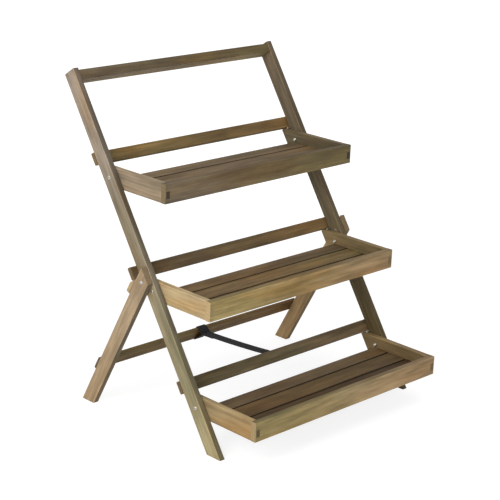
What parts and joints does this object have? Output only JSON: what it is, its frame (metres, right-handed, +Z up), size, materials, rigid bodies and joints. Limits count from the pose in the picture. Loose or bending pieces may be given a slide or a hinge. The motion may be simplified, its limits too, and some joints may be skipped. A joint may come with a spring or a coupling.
{
  "type": "tiered folding plant stand",
  "caption": "Folding plant stand: a leaning wooden ladder frame on rear legs, with open-backed slatted trays that hinge up and a webbing stay strap.",
  "frame": {"origin": "centre of the footprint at the height of the ground", "axes": "+X to the right seen from the front, +Y from the front to the back, +Z up"},
  "size_m": [0.743, 0.7074, 0.8672],
  "materials": {
    "frame_wood": "grey-washed oiled hardwood, satin",
    "pale_wood": "oiled hardwood, satin",
    "tray_wood": "grey-washed oiled hardwood, satin",
    "hardware": "zinc plated, satin",
    "webbing": "flat woven webbing"
  },
  "bodies": {
    "ladder": {"back_slat_screws": "hardware", "left_stile": "frame_wood", "leg_pivot_bolts": "hardware", "leg_pivot_nuts": "hardware", "leg_pivot_washers": "hardware", "lower_back_slat": "frame_wood", "lower_tray_pivot_bolts": "hardware", "lower_tray_pivot_nuts": "hardware", "lower_tray_pivot_washers": "hardware", "lower_tray_stop_pins": "hardware", "middle_back_slat": "frame_wood", "middle_tray_pivot_bolts": "hardware", "middle_tray_pivot_nuts": "hardware", "middle_tray_pivot_washers": "hardware", "middle_tray_stop_pins": "hardware", "right_stile": "frame_wood", "strap_screws": "hardware", "top_rail": "frame_wood", "upper_back_slat": "frame_wood", "upper_tray_pivot_bolts": "hardware", "upper_tray_pivot_nuts": "hardware", "upper_tray_pivot_washers": "hardware", "upper_tray_stop_pins": "hardware"},
    "rear_legs": {"crossbar_screws": "hardware", "left_rear_leg": "pale_wood", "left_stop_block": "pale_wood", "rear_crossbar": "pale_wood", "right_rear_leg": "pale_wood", "right_stop_block": "pale_wood", "stay_strap": "webbing"},
    "lower_tray": {"lower_tray_front": "tray_wood", "lower_tray_front_slat": "tray_wood", "lower_tray_left_side": "tray_wood", "lower_tray_middle_slat": "tray_wood", "lower_tray_rear_slat": "tray_wood", "lower_tray_right_side": "tray_wood"},
    "middle_tray": {"middle_tray_front": "tray_wood", "middle_tray_front_slat": "tray_wood", "middle_tray_left_side": "tray_wood", "middle_tray_middle_slat": "tray_wood", "middle_tray_rear_slat": "tray_wood", "middle_tray_right_side": "tray_wood"},
    "upper_tray": {"upper_tray_front": "tray_wood", "upper_tray_front_slat": "tray_wood", "upper_tray_left_side": "tray_wood", "upper_tray_middle_slat": "tray_wood", "upper_tray_rear_slat": "tray_wood", "upper_tray_right_side": "tray_wood"}
  },
  "joints": [
    {"name": "leg_fold", "type": "hinge", "parent": "ladder", "child": "rear_legs", "pos_m": [0, 0.02475, 0.38478], "axis": [-1, 0, 0], "range_deg": [0, 59], "deforming": ["stay_strap"]},
    {"name": "lower_tray_fold", "type": "hinge", "parent": "ladder", "child": "lower_tray", "pos_m": [0, -0.16168, 0.10764], "axis": [-1, 0, 0], "range_deg": [0, 112]},
    {"name": "middle_tray_fold", "type": "hinge", "parent": "ladder", "child": "middle_tray", "pos_m": [0, 0.00666, 0.36198], "axis": [-1, 0, 0], "range_deg": [0, 112]},
    {"name": "upper_tray_fold", "type": "hinge", "parent": "ladder", "child": "upper_tray", "pos_m": [0, 0.175, 0.61631], "axis": [-1, 0, 0], "range_deg": [0, 112]}
  ]
}
